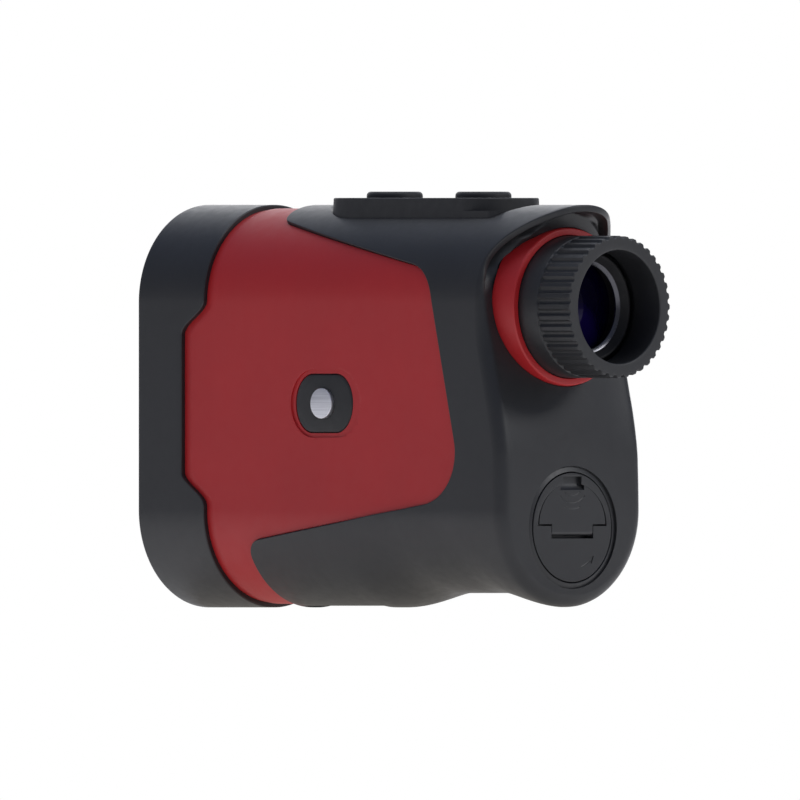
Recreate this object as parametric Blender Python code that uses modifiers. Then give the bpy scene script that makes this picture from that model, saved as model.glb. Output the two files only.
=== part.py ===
"""Handheld laser rangefinder, built as an assembly of separate pieces.

Sizes here are millimetres and become metres where a mesh or a location is made.
+Y points from the eyepiece to the objective, +X to the user's right and +Z up.
A place along the body is its depth, the distance behind the hood's front rim,
and a place up the body is its height above the lowest point of the casing.
"""
import math

import bmesh
import bpy
import numpy as np
from mathutils import Matrix, Vector

MM = 0.001
GAP = 0.3                    # clearance between pieces that touch

# Casing: a tall rounded rectangle in section
LENGTH = 106.6               # hood rim to the eyepiece's end face
WIDTH = 36.0
HEIGHT = 73.0
CORNER_RADIUS = 17.7
FRONT_Y = LENGTH / 2
HALF_WIDTH = WIDTH / 2
MID_HEIGHT = HEIGHT / 2
ARC_STEPS = 10               # segments in each corner of the section
SIDE_HEIGHTS = (53.5, 52.0, 50.5, 49.0, 43.0, 37.0, 31.0, 25.0, 23.5, 22.0, 20.5)

# How deep each layer lies below the casing's outer surface
RED_INSET = 0.8
RED_INNER = 1.8
CORE_INSET = RED_INNER + GAP
CAVITY_INSET = 3.3
HOOD_WALL = 1.8
LIP_WALL = 1.2

# Depths of the casing's edges
NECK_FRONT = 8.4
BODY_FRONT = 27.2
WINDOW_TOP_FRONT = 28.5      # the black body starts a little further back at the top
CAVITY_REAR = 87.3
TRIM_SEAT = 88.5
REAR_FACE = 94.4
GROOVE_FRONT = (51.3, 67.2)
GROOVE_BACK = (78.4, 93.4)
GROOVE_RISE = 2.6
BODY_STATIONS = (54.0, 58.0, 62.0, 66.0, 70.0, 74.0, 78.0, 82.0, 86.0)

# Axes along the body
EYE_HEIGHT = 54.5
RECEIVER_HEIGHT = 18.5
BATTERY_HEIGHT = 14.5

# Keypad
POCKET_FLOOR = 70.3
BUTTON_DEPTHS = {"power": 48.3, "mode": 71.3}
BUTTON_RADIUS = 5.1
BUTTON_TOP = 75.4

# Battery cap
CAP_RADIUS = 10.1
HANDLE_RADIUS = 8.35
HANDLE_BASE = 15.1           # height of the half-moon's straight side
STEM_HALF = 5.15
STEM_DROP = 2.1
HINGE_RADIUS = 0.8           # round lower end of the handle's stem
HINGE_HEIGHT = HANDLE_BASE - STEM_DROP + HINGE_RADIUS
HINGE_DEPTH = REAR_FACE - HINGE_RADIUS

# Side magnet
MAGNET_DEPTH = 47.5
MAGNET_HEIGHT = 37.0

# Finishes: colour, roughness, metallic
BLACK_PLASTIC = ((0.022, 0.023, 0.026), 0.42, 0.0)
DARK_RUBBER = ((0.018, 0.018, 0.019), 0.65, 0.0)
RED_PLASTIC = ((0.23, 0.022, 0.026), 0.5, 0.0)
STEEL = ((0.62, 0.62, 0.65), 0.3, 1.0)
ALUMINIUM = ((0.55, 0.55, 0.57), 0.35, 1.0)
GLASS = ((0.2, 0.25, 0.4), 0.05, 0.0)
BOARD_GREEN = ((0.02, 0.16, 0.07), 0.5, 0.0)
GREY_PLASTIC = ((0.12, 0.12, 0.13), 0.5, 0.0)
BATTERY_WRAP = ((0.35, 0.30, 0.10), 0.4, 0.2)

PARTS = "laser_rangefinder"
CUTTERS = "cutters"
ROTATIONS = {
    "back": (math.radians(90), 0, 0),
    "up": (0, 0, 0),
    "left": (0, math.radians(-90), 0),
}


# ---------------------------------------------------------------- helpers

def clear_scene():
    """Remove every object and make the two collections."""
    for obj in list(bpy.data.objects):
        bpy.data.objects.remove(obj, do_unlink=True)
    for name in (PARTS, CUTTERS):
        collection = bpy.data.collections.new(name)
        bpy.context.scene.collection.children.link(collection)


def place(x, depth, height):
    """World position in metres."""
    return Vector((x, FRONT_Y - depth, height)) * MM


def make_material(name, finish):
    colour, roughness, metallic = finish
    material = bpy.data.materials.new(name)
    material.use_nodes = True
    shader = material.node_tree.nodes["Principled BSDF"]
    shader.inputs["Base Color"].default_value = (*colour, 1)
    shader.inputs["Roughness"].default_value = roughness
    shader.inputs["Metallic"].default_value = metallic
    material.diffuse_color = (*colour, 1)
    return material


def add_object(name, mesh, finish=None):
    """A part with its own material or, without a finish, a cutter."""
    obj = bpy.data.objects.new(name, mesh)
    bpy.data.collections[PARTS if finish else CUTTERS].objects.link(obj)
    if finish:
        mesh.materials.append(make_material(name, finish))
    else:
        obj.hide_render = True
        obj.display_type = 'WIRE'
    return obj


def mesh_from_bmesh(name, bm):
    """Close, orient and smooth a bmesh, and hand it over as a mesh."""
    bmesh.ops.remove_doubles(bm, verts=bm.verts, dist=0.002 * MM)
    bmesh.ops.recalc_face_normals(bm, faces=bm.faces)
    mesh = bpy.data.meshes.new(name)
    bm.to_mesh(mesh)
    bm.free()
    mesh.shade_smooth()
    mesh.set_sharp_from_angle(angle=math.radians(35))
    return mesh


def combine(target, tool, operation='DIFFERENCE'):
    modifier = target.modifiers.new(tool.name, 'BOOLEAN')
    modifier.object = tool
    modifier.operation = operation
    modifier.solver = 'EXACT'


def set_origin(obj, point):
    """Move the origin of an unrotated object to a point, leaving its mesh where it is."""
    obj.data.transform(Matrix.Translation(obj.location - point))
    obj.location = point


def smooth_step(value):
    t = min(max(value, 0.0), 1.0)
    return t * t * (3 - 2 * t)


def curve_through(points):
    """A smooth function through (x, y) points in rising x."""
    xs, ys = np.array(points, dtype=float).T
    slopes = np.gradient(ys, xs)

    def value(x):
        i = int(np.clip(np.searchsorted(xs, x) - 1, 0, len(xs) - 2))
        span = xs[i + 1] - xs[i]
        t = min(max((x - xs[i]) / span, 0.0), 1.0)
        rise = smooth_step(t)
        start = t * (1 - t) ** 2 * span * slopes[i]
        end = t * t * (t - 1) * span * slopes[i + 1]
        return ys[i] * (1 - rise) + ys[i + 1] * rise + start + end

    return value


def rounded_outline(corners, steps=6):
    """Points of an outline whose (x, y, radius) corners are filleted."""
    outline = []
    for i, (x, y, radius) in enumerate(corners):
        corner = Vector((x, y))
        if radius == 0:
            outline.append((x, y))
            continue
        to_last = (Vector(corners[i - 1][:2]) - corner).normalized()
        to_next = (Vector(corners[(i + 1) % len(corners)][:2]) - corner).normalized()
        half = to_last.angle(to_next) / 2
        centre = corner + (to_last + to_next).normalized() * (radius / math.sin(half))
        reach = radius / math.tan(half)
        first = corner + to_last * reach - centre
        turn = first.angle_signed(corner + to_next * reach - centre)
        for step in range(steps + 1):
            arm = Matrix.Rotation(-turn * step / steps, 2) @ first
            outline.append(tuple(centre + arm))
    return outline


def inset_outline(outline, distance):
    """The outline moved to its left by a distance at every edge."""
    points = [Vector(point) for point in outline]
    moved = []
    for i, point in enumerate(points):
        before = (point - points[i - 1]).normalized()
        after = (points[(i + 1) % len(points)] - point).normalized()
        normal = Vector((-before.y - after.y, before.x + after.x)).normalized()
        stretch = normal.dot(Vector((-after.y, after.x)))
        moved.append(tuple(point + normal * (distance / stretch)))
    return moved


def arc(centre, radii, start, end, steps):
    """Points of an elliptical arc, angles in degrees."""
    angles = np.radians(np.linspace(start, end, steps + 1))
    return [(centre[0] + radii[0] * math.cos(a), centre[1] + radii[1] * math.sin(a)) for a in angles]


# ---------------------------------------------------------------- shape makers

def turned(name, profile, finish=None, at=(0, 0, 0), along="back", steps=20):
    """A turned piece from (radius, distance) points running down its outer side.

    Distance runs along the axis from at. A profile that starts off the axis is a ring.
    """
    mesh = bpy.data.meshes.new(name)
    edges = [(i, i + 1) for i in range(len(profile) - 1)]
    if profile[0][0] > 0:
        edges.append((len(profile) - 1, 0))
    mesh.from_pydata([(r * MM, 0, d * MM) for r, d in profile], edges, [])
    obj = add_object(name, mesh, finish)
    obj.location = place(*at)
    obj.rotation_euler = ROTATIONS[along]
    screw = obj.modifiers.new("Turn", 'SCREW')
    screw.angle = 2 * math.pi
    screw.steps = steps
    screw.render_steps = steps
    screw.use_merge_vertices = True
    screw.merge_threshold = 0.005 * MM
    return obj


def rod(radius, start, end):
    """Profile of a plain round bar between two distances."""
    return [(0, end), (radius, end), (radius, start), (0, start)]


def tube(outer, inner, start, end):
    """Profile of a plain tube between two distances."""
    return [(outer, end), (outer, start), (inner, start), (inner, end)]


def block(name, xs, depths, heights, finish=None, rounding=0.0):
    """A box between two values on each axis, with bevelled edges if rounding is given."""
    bm = bmesh.new()
    bmesh.ops.create_cube(bm, size=1.0)
    low = place(xs[0], depths[1], heights[0])
    high = place(xs[1], depths[0], heights[1])
    bmesh.ops.transform(bm, matrix=Matrix.Diagonal((*(high - low), 1)), verts=bm.verts)
    mesh = mesh_from_bmesh(name, bm)
    obj = add_object(name, mesh, finish)
    obj.location = (low + high) / 2
    if rounding:
        bevel = obj.modifiers.new("Edges", 'BEVEL')
        bevel.width = rounding * MM
        bevel.segments = 2
    return obj


def extruded(name, outline, low, high, plane, finish=None):
    """A flat outline drawn out from low to high, square to the plane it lies in.

    plane is side for (depth, height), top for (x, depth) and front for (x, height).
    """
    curve = bpy.data.curves.new(name, 'CURVE')
    curve.dimensions = '2D'
    curve.fill_mode = 'BOTH'
    curve.extrude = (high - low) / 2 * MM
    spline = curve.splines.new('POLY')
    spline.points.add(len(outline) - 1)
    for point, (u, v) in zip(spline.points, outline):
        point.co = (u * MM, v * MM, 0, 1)
    spline.use_cyclic_u = True
    source = bpy.data.objects.new(name, curve)
    bpy.context.scene.collection.objects.link(source)
    depsgraph = bpy.context.evaluated_depsgraph_get()
    mesh = bpy.data.meshes.new_from_object(source.evaluated_get(depsgraph))
    bpy.data.objects.remove(source, do_unlink=True)
    middle = (low + high) / 2
    right, back, up = Vector((1, 0, 0)), Vector((0, -1, 0)), Vector((0, 0, 1))
    columns, centre = {
        "side": ((back, up, -right), place(middle, 0, 0)),
        "top": ((right, back, -up), place(0, 0, middle)),
        "front": ((right, up, back), place(0, middle, 0)),
    }[plane]
    turn = Matrix(columns).transposed().to_4x4()
    bm = bmesh.new()
    bm.from_mesh(mesh)
    bmesh.ops.transform(bm, matrix=Matrix.Translation(centre) @ turn, verts=bm.verts)
    return add_object(name, mesh_from_bmesh(name, bm), finish)


def section_half():
    """Points down the right half of the casing's section, each with its outward normal."""
    flat = HALF_WIDTH - CORNER_RADIUS
    angles = np.linspace(90, 0, ARC_STEPS + 1)
    half = []
    for degrees in angles:
        normal = Vector((math.cos(math.radians(degrees)), math.sin(math.radians(degrees))))
        half.append((Vector((flat, HEIGHT - CORNER_RADIUS)) + normal * CORNER_RADIUS, normal))
    half += [(Vector((HALF_WIDTH, height)), Vector((1, 0))) for height in SIDE_HEIGHTS]
    for degrees in angles[::-1]:
        normal = Vector((math.cos(math.radians(degrees)), -math.sin(math.radians(degrees))))
        half.append((Vector((flat, CORNER_RADIUS)) + normal * CORNER_RADIUS, normal))
    return half


def groove_rise(depth):
    """How far the finger groove lifts the bottom of the body."""
    entry = (depth - GROOVE_FRONT[0]) / (GROOVE_FRONT[1] - GROOVE_FRONT[0])
    exit_share = (GROOVE_BACK[1] - depth) / (GROOVE_BACK[1] - GROOVE_BACK[0])
    return GROOVE_RISE * smooth_step(entry) * smooth_step(exit_share)


def bridge_rows(bm, upper, lower):
    """Faces between two rows of vertices, in one piece where their counts differ."""
    if len(upper) != len(lower):
        bm.faces.new(upper + lower[::-1])
        return
    for i in range(len(upper) - 1):
        bm.faces.new((upper[i], upper[i + 1], lower[i + 1], lower[i]))


def crown_rows(bm, loop):
    """Rows of vertices across the section inside its last ring, raised to the crown."""
    count = len(loop)
    rows = []
    for i in range(count // 2):
        right, left = loop[i], loop[count - 1 - i]
        x, y, z = right.co / MM
        inner = []
        if 0 < i < count // 2 - 1:
            for share in CROWN_SHARES:
                depth = crown_depth(x * share, x, z, FRONT_Y - y)
                inner.append(bm.verts.new(place(x * share, depth, z)))
        rows.append([right, *inner, left])
    return rows


def casing_loft(name, rings, finish=None, closed=False, grooved=False, crowned=False):
    """A skin through rings of the casing's section.

    Each ring is a function of height that gives (inset, depth). A closed loft is a tube.
    An open one is capped at its first and last ring by rungs across the section.
    """
    half = section_half()
    bm = bmesh.new()
    loops = []
    for ring in rings:
        right = []
        for point, normal in half:
            inset, depth = ring(point.y)
            x, height = point - normal * inset
            if grooved and inset < CAVITY_INSET:
                height += groove_rise(depth) * max(0.0, 1 - point.y / CORNER_RADIUS)
            right.append((x, depth, height))
        left = [(-x, depth, height) for x, depth, height in reversed(right)]
        loops.append([bm.verts.new(place(*values)) for values in right + left])
    count = len(loops[0])
    pairs = list(zip(loops, loops[1:]))
    if closed:
        pairs.append((loops[-1], loops[0]))
    else:
        caps = [[[loop[i], loop[count - 1 - i]] for i in range(len(half))] for loop in (loops[0], loops[-1])]
        if crowned:
            caps[1] = crown_rows(bm, loops[-1])
        for rows in caps:
            for upper, lower in zip(rows, rows[1:]):
                bridge_rows(bm, upper, lower)
    for a, b in pairs:
        for i in range(count):
            j = (i + 1) % count
            bm.faces.new((a[i], a[j], b[j], b[i]))
    return add_object(name, mesh_from_bmesh(name, bm), finish)


def flat_ring(inset, depth):
    return lambda height: (inset, depth)


# ---------------------------------------------------------------- casing

def hood_edge(height):
    """Depth of the hood's wavy rear edge, which reaches back at the top and the bottom."""
    return 11.3 + 5.75 * smooth_step((abs(height - 37.0) - 12.5) / 6.0)


# Depth of the rear edge by height: upright below, scooped beside the eyepiece, then the brow
REAR_PROFILE = curve_through([
    (0, 94.4), (24.5, 94.4), (28.0, 94.25), (31.1, 93.85), (35.4, 93.05), (39.8, 92.0),
    (45.3, 90.7), (49.6, 89.8), (55.0, 89.0), (60.0, 88.5), (63.4, 88.5), (65.4, 89.4),
    (67.5, 91.0), (69.1, 92.8), (70.3, 94.4), (71.5, 96.2), (72.4, 97.4), (73.0, 98.0),
])

# Depth of the rear face's middle by height, where it swells round the eyepiece
CROWN_PROFILE = curve_through([
    (0, 94.4), (26.0, 94.4), (33.0, 94.1), (40.2, 92.9), (45.3, 91.5), (49.6, 90.7), (55.0, 89.8),
    (62.0, 88.9), (63.5, 89.3), (65.0, 90.2), (66.4, 91.3), (67.3, 92.3), (68.5, 93.0), (73.0, 94.6),
])
CROWN_SHARES = (0.92, 0.84, 0.74, 0.5, 0.0, -0.5, -0.74, -0.84, -0.92)


def rear_edge_radius(height):
    """The rear edge is well rounded low down and thins to the lip of the brow."""
    return 2.3 - 2.0 * smooth_step((height - 46.0) / 21.0)


def rear_rounding(degrees):
    """One ring of the rounded edge between the body's sides and its rear face."""
    angle = math.radians(degrees)

    def ring(height):
        radius = rear_edge_radius(height)
        return radius * (1 - math.cos(angle)), REAR_PROFILE(height) - radius * (1 - math.sin(angle))

    return ring


def lip_inner(height):
    return max(LIP_WALL, rear_edge_radius(height)), REAR_PROFILE(height)


def brow_floor(height):
    """Under the brow the rear face lies in front of the lip."""
    return lip_inner(height)[0], REAR_PROFILE(height) - 2.6 * smooth_step((height - 60.0) / 6.0)


def crown_depth(x, reach, height, foot):
    """Depth of the rear face between its foot at |x| = reach and its swollen middle."""
    gathered = smooth_step((height - 50.0) / 12.0)
    blend = reach + (3.0 - reach) * gathered
    return foot + (CROWN_PROFILE(height) - foot) * smooth_step((reach - abs(x)) / blend)


def cavity_ring(depth):
    """The cavity keeps more wall at the bottom, where the finger groove is."""
    return lambda height: (CAVITY_INSET + 1.5 * max(0.0, 1 - height / 6.0), depth)


def side_window(front):
    """Outline of the red side panel: its collar in front and the window in the body."""
    return rounded_outline([
        (front, -2, 0), (BODY_FRONT, -2, 0), (BODY_FRONT, 11.8, 3.5), (84.3, 20.2, 9.5),
        (74.8, 61.3, 8), (WINDOW_TOP_FRONT, 70.5, 3), (WINDOW_TOP_FRONT, 75, 0), (front, 75, 0),
    ])


def keypad_outline(half_width, nose, shoulder, tail):
    """Plan of the keypad: a round nose, then an elliptical tail from shoulder to tail."""
    front = arc((0, nose + half_width), (half_width, half_width), 180, 360, 16)
    back = arc((0, shoulder), (half_width, tail - shoulder), 0, 180, 14)
    return front + back


def make_housing():
    """Black body: a cup that is open in front, with a stepped neck for the hood."""
    rings = [cavity_ring(CAVITY_REAR), cavity_ring(NECK_FRONT)]
    rings += [flat_ring(CORE_INSET, NECK_FRONT), flat_ring(CORE_INSET, BODY_FRONT)]
    rings += [flat_ring(0.2, BODY_FRONT), flat_ring(0, BODY_FRONT + 0.2)]
    rings += [flat_ring(0, depth) for depth in BODY_STATIONS]
    rings += [rear_rounding(degrees) for degrees in (0, 30, 60, 90)]
    rings += [lip_inner, brow_floor]
    housing = casing_loft("main_housing", rings, BLACK_PLASTIC, grooved=True, crowned=True)

    window = extruded("window_prism", side_window(15.0), -20, 20, "side")
    recess = casing_loft("panel_recess", [
        flat_ring(-1, 20), flat_ring(-1, 86), flat_ring(CORE_INSET, 86), flat_ring(CORE_INSET, 20),
    ], closed=True)
    combine(recess, window, 'INTERSECT')
    cutters = [recess]
    pocket = keypad_outline(9.4, 35.9, 81.7, 85.6)
    cutters.append(extruded("keypad_pocket", pocket, POCKET_FLOOR, 76, "top"))
    cutters.append(block("label_relief", (-10, 10), (28.0, 49.2), (-2, 0.3)))
    for button, depth in BUTTON_DEPTHS.items():
        cutters.append(turned(f"{button}_hole", rod(3.4, 66, 72), at=(0, depth, 0), along="up"))
    at_eye = (0, 0, EYE_HEIGHT)
    at_battery = (0, 0, BATTERY_HEIGHT)
    cutters.append(turned("trim_seat", [
        (0, 110), (14.6, 110), (14.6, 93.5), (15.3, TRIM_SEAT), (11.5, TRIM_SEAT), (11.5, 84), (0, 84),
    ], at=at_eye, steps=36))
    cutters.append(turned("battery_port", [
        (0, 100), (11.1, 100), (11.1, REAR_FACE - 0.35), (10.4, REAR_FACE - 0.05),
        (10.4, 90.4), (9.2, 90.4), (9.2, 84), (0, 84),
    ], at=at_battery, steps=36))
    for cutter in cutters:
        combine(housing, cutter)


def make_hood():
    rings = [
        flat_ring(0.5, 0), flat_ring(0, 0.5),
        lambda height: (0, hood_edge(height)),
        lambda height: (HOOD_WALL, hood_edge(height)),
        flat_ring(HOOD_WALL, 0),
    ]
    casing_loft("front_hood", rings, BLACK_PLASTIC, closed=True)


def make_red_panels():
    """Two red panels that meet at the middle of the collar's top and bottom."""
    outline = inset_outline(side_window(5.0), GAP)
    for side, xs in (("left", (-20, -GAP / 2)), ("right", (GAP / 2, 20))):
        region = extruded(f"{side}_panel_region", outline, *xs, "side")
        panel = casing_loft(f"{side}_red_panel", [
            lambda height: (RED_INSET, hood_edge(height) + GAP),
            flat_ring(RED_INSET, 84), flat_ring(RED_INNER, 84),
            lambda height: (RED_INNER, hood_edge(height) + GAP),
        ], RED_PLASTIC, closed=True)
        combine(panel, region, 'INTERSECT')
        if side == "left":
            combine(panel, extruded("boss_recess", obround(17.8, 12.4), -20, -HALF_WIDTH + 1.1, "side"))
            combine(panel, extruded("boss_opening", obround(15.2, 11.1), -20, -14, "side"))


def obround(length, height):
    """Outline of the side boss in (depth, height): level top and bottom, round ends."""
    reach = length / 2 - 3.1
    front = arc((MAGNET_DEPTH - 3.1, MAGNET_HEIGHT), (reach, height / 2), 90, 270, 12)
    back = arc((MAGNET_DEPTH + 3.1, MAGNET_HEIGHT), (reach, height / 2), -90, 90, 12)
    return front + back


def make_magnet():
    boss = extruded("magnet_boss", obround(14.6, 10.5), -17.5, -16.2, "side", DARK_RUBBER)
    bevel = boss.modifiers.new("Crown", 'BEVEL')
    bevel.width = 0.45 * MM
    bevel.segments = 2
    bevel.limit_method = 'ANGLE'
    bevel.angle_limit = math.radians(60)
    at = (0, MAGNET_DEPTH, MAGNET_HEIGHT)
    combine(boss, turned("disc_seat", rod(3.05, 16.7, 19), at=at, along="left"))
    turned("magnet_disc", [
        (0, 18), (2.55, 18), (2.75, 17.8), (2.75, 17.0), (0, 17.0),
    ], STEEL, at=at, along="left", steps=28)


def make_bezel():
    """Front plate behind the hood's rim, with the two lens windows."""
    front, back = 5.2, 8.0
    bezel = casing_loft("front_bezel", [flat_ring(CORE_INSET, front), flat_ring(CORE_INSET, back)],
                        BLACK_PLASTIC)
    for name, height, radius in (("objective", EYE_HEIGHT, 11.0), ("receiver", RECEIVER_HEIGHT, 10.0)):
        window = turned(f"{name}_window", [
            (0, 10), (radius, 10), (radius, front + 1), (radius + 1, front - 0.5), (0, front - 0.5),
        ], at=(0, 0, height), steps=32)
        combine(bezel, window)
    for i, x in enumerate((-10.5, 10.5), start=1):
        at = (x, 0, MID_HEIGHT)
        seat = turned(f"screw_seat_{i}", [
            (0, 10), (1.3, 10), (1.3, front + 1.4), (2.2, front + 1.4), (2.2, 0), (0, 0),
        ], at=at, steps=16)
        combine(bezel, seat)
        screw = turned(f"bezel_screw_{i}", [
            (0, 15), (1.0, 15), (1.0, front + 1.1), (1.9, front + 1.1), (1.9, front + 0.2),
            (1.6, front), (0, front),
        ], STEEL, at=at, steps=16)
        slot = block(f"screw_slot_{i}", (x - 3, x + 3), (front - 1, front + 0.5),
                     (MID_HEIGHT - 0.25, MID_HEIGHT + 0.25))
        combine(screw, slot)


# ---------------------------------------------------------------- keypad

def make_keypad():
    """Rubber pad in the pocket, two buttons, and the switches on their board."""
    flange = keypad_outline(9.1, 36.2, 81.5, 85.3)
    pad = extruded("keypad_pad", flange, POCKET_FLOOR + GAP, 71.93, "top", DARK_RUBBER)
    top = extruded("pad_top", keypad_outline(9.0, 36.3, 75.0, 80.6), 71.6, 74.3, "top")
    combine(pad, top, 'UNION')
    for button, depth in BUTTON_DEPTHS.items():
        at = (0, depth, 0)
        combine(pad, turned(f"{button}_opening", [
            (0, 76), (5.4, 76), (5.4, 73.0), (6.2, 73.0), (6.2, 70), (0, 70),
        ], at=at, along="up", steps=28))
        turned(f"{button}_button", [
            (0, BUTTON_TOP - 0.25), (3.2, BUTTON_TOP - 0.1), (4.3, BUTTON_TOP),
            (BUTTON_RADIUS - 0.25, BUTTON_TOP - 0.25), (BUTTON_RADIUS, BUTTON_TOP - 0.8),
            (BUTTON_RADIUS, 72.6), (5.9, 72.6), (5.9, 71.9), (2.9, 71.9), (2.9, 67.6), (0, 67.6),
        ], DARK_RUBBER, at=at, along="up", steps=28)
        switch = block(f"{button}_switch", (-2.6, 2.6), (depth - 2.6, depth + 2.6), (65.1, 66.2),
                       GREY_PLASTIC)
        combine(switch, turned(f"{button}_plunger", rod(1.5, 65.6, 66.8), at=at, along="up", steps=16),
                'UNION')
    block("keypad_board", (-7.5, 7.5), (42, 78), (63.8, 64.8), BOARD_GREEN)


# ---------------------------------------------------------------- eyepiece

def make_diopter_ring():
    """Ring that turns on the eye tube: a smooth barrel, then a band of teeth."""
    teeth = 40
    rings = [
        (12.6, 12.6, 91.9), (12.9, 12.9, 92.2), (12.9, 12.9, 98.1), (12.9, 12.4, 98.6),
        (12.9, 12.4, 106.3), (12.6, 12.2, 106.6), (10.3, 10.3, 106.6), (10.3, 10.3, 99.8),
        (11.5, 11.5, 99.8), (11.5, 11.5, 91.9),
    ]
    bm = bmesh.new()
    loops = []
    for ridge, valley, depth in rings:
        loop = []
        for i in range(2 * teeth):
            angle = math.pi * i / teeth
            radius = ridge if i % 2 == 0 else valley
            loop.append(bm.verts.new(Vector((
                radius * math.sin(angle), -depth, radius * math.cos(angle))) * MM))
        loops.append(loop)
    for a, b in zip(loops, loops[1:] + loops[:1]):
        for i in range(2 * teeth):
            j = (i + 1) % (2 * teeth)
            bm.faces.new((a[i], a[j], b[j], b[i]))
    ring = add_object("diopter_ring", mesh_from_bmesh("diopter_ring", bm), BLACK_PLASTIC)
    ring.location = place(0, 0, EYE_HEIGHT)


def make_eyepiece():
    at = (0, 0, EYE_HEIGHT)
    turned("eyepiece_trim_ring", [
        (14.1, 93.7), (14.3, 93.4), (15.0, TRIM_SEAT + GAP),
        (13.2, TRIM_SEAT + GAP), (13.2, 93.5), (13.35, 93.7),
    ], RED_PLASTIC, at=at, steps=40)
    turned("eye_tube", [
        (11.2, 98.0), (11.2, 87.0), (13.4, 87.0), (13.4, 85.4), (10.1, 85.4), (10.1, 98.0),
    ], ALUMINIUM, at=at, steps=28)
    turned("eye_cell", [
        (9.8, 99.4), (9.8, 92.6), (8.0, 92.6), (8.0, 93.2), (9.0, 93.2), (9.0, 96.8),
        (7.8, 97.2), (7.8, 97.7), (9.4, 99.4),
    ], BLACK_PLASTIC, at=at, steps=28)
    turned("eye_lens", [
        (0, 96.9), (3.0, 96.7), (5.5, 96.2), (7.4, 95.6), (8.6, 95.2), (8.6, 94.0),
        (7.4, 93.7), (4.0, 93.5), (0, 93.5),
    ], GLASS, at=at, steps=24)
    make_diopter_ring()


# ---------------------------------------------------------------- optics

def lens_profile(radius, front, edge, centre):
    """A biconvex lens: edge thickness, then how far the middle bulges past it."""
    back = front + edge
    steps = np.linspace(0, 1, 4)
    rear = [(radius * t, back + centre * (1 - t * t)) for t in steps]
    fore = [(radius * t, front - centre * (1 - t * t)) for t in steps[::-1]]
    return rear + fore


def make_front_optics():
    at = (0, 0, EYE_HEIGHT)
    turned("objective_barrel", [
        (12.9, 36), (12.9, 8.4), (11.6, 8.4), (11.6, 14.6), (10.4, 14.6), (10.4, 36),
    ], ALUMINIUM, at=at)
    turned("objective_lens", lens_profile(11.3, 11.0, 2.4, 0.9), GLASS, at=at)
    turned("objective_retainer", tube(11.3, 10.2, 8.6, 9.6), ALUMINIUM, at=at)
    at = (0, 0, RECEIVER_HEIGHT)
    turned("receiver_barrel", [
        (6.4, 36), (11.8, 18), (11.8, 8.4), (10.6, 8.4), (10.6, 14.6), (9.2, 15.4), (9.2, 20),
        (5.2, 36),
    ], ALUMINIUM, at=at)
    turned("receiver_lens", lens_profile(10.3, 11.0, 2.4, 0.9), GLASS, at=at)
    turned("receiver_retainer", tube(10.3, 9.3, 8.6, 9.6), ALUMINIUM, at=at)


def make_bench():
    """Optical bench between the two channels, with the prism and the display on it."""
    bench = block("optical_bench", (-12.2, 12.2), (8.6, 80), (34.9, 37.6), ALUMINIUM)
    for i, x in enumerate((-10.5, 10.5), start=1):
        combine(bench, turned(f"bench_hole_{i}", rod(1.3, 5, 16), at=(x, 0, MID_HEIGHT), steps=16))
    holder = block("prism_holder", (-9.4, 9.4), (46, 72), (37.9, 63.4), GREY_PLASTIC)
    combine(holder, block("prism_channel", (-7.5, 7.5), (40, 80), (EYE_HEIGHT - 7.5, EYE_HEIGHT + 7.5)))
    combine(holder, turned("diode_bore", rod(3.2, 40, 60), at=(0, 0, 42.4), steps=20))
    block("erecting_prism", (-7.2, 7.2), (49, 69), (EYE_HEIGHT - 7.2, EYE_HEIGHT + 7.2), GLASS, 0.6)
    block("display_reticle", (-7, 7), (76, 77.4), (EYE_HEIGHT - 7, EYE_HEIGHT + 7), GLASS, 0.2)
    turned("laser_diode", [
        (0, 49.8), (2.2, 49.8), (2.2, 46.2), (2.8, 46.2), (2.8, 45.2), (0, 45.2),
    ], ALUMINIUM, at=(0, 0, 42.4), steps=20)
    block("laser_board", (-6, 6), (43.9, 44.9), (38.2, 46.6), BOARD_GREEN)


def make_electronics():
    turned("apd_sensor", [
        (0, 41.6), (4.1, 41.6), (4.1, 40.8), (3.6, 40.8), (3.6, 37.8), (0, 37.8),
    ], ALUMINIUM, at=(0, 0, RECEIVER_HEIGHT), steps=20)
    block("sensor_board", (-9, 9), (41.9, 43.1), (9.5, 27.5), BOARD_GREEN)
    block("main_board", (12.6, 13.8), (44, 82), (20, 57), BOARD_GREEN)


# ---------------------------------------------------------------- battery

def make_battery():
    at = (0, 0, BATTERY_HEIGHT)
    turned("battery_tube", [
        (9.3, 87.0), (9.3, 57.0), (4.0, 57.0), (4.0, 58.2), (8.1, 58.2), (8.1, 87.0),
    ], GREY_PLASTIC, at=at, steps=28)
    turned("battery_cell", [
        (0, 86.8), (7.2, 86.8), (7.8, 86.2), (7.8, 61.6), (7.2, 61.0), (3.2, 61.0),
        (3.2, 60.0), (0, 60.0),
    ], BATTERY_WRAP, at=at, steps=28)
    turned("tube_contact", rod(5.5, 58.5, 59.7), STEEL, at=at)
    turned("cap_contact", [
        (0, 91.3), (6.0, 91.3), (6.0, 90.5), (3.0, 87.6), (2.0, 87.1), (0, 87.1),
    ], STEEL, at=at)
    ring_centre, thick = (9.65, 91.1), 0.36
    turned("cap_seal", arc(ring_centre, (thick, thick), 90, -270, 8)[:-1], DARK_RUBBER, at=at, steps=24)


def handle_outline(grow):
    """Half-moon with its stem below, in (x, height), grown all round for its recess."""
    radius = HANDLE_RADIUS + grow
    moon = arc((0, HANDLE_BASE - grow), (radius, radius + grow), 0, 180, 20)
    stem = STEM_HALF + grow
    foot = HANDLE_BASE - STEM_DROP - grow
    return moon + [(-stem, HANDLE_BASE - grow), (-stem, foot), (stem, foot), (stem, HANDLE_BASE - grow)]


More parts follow.
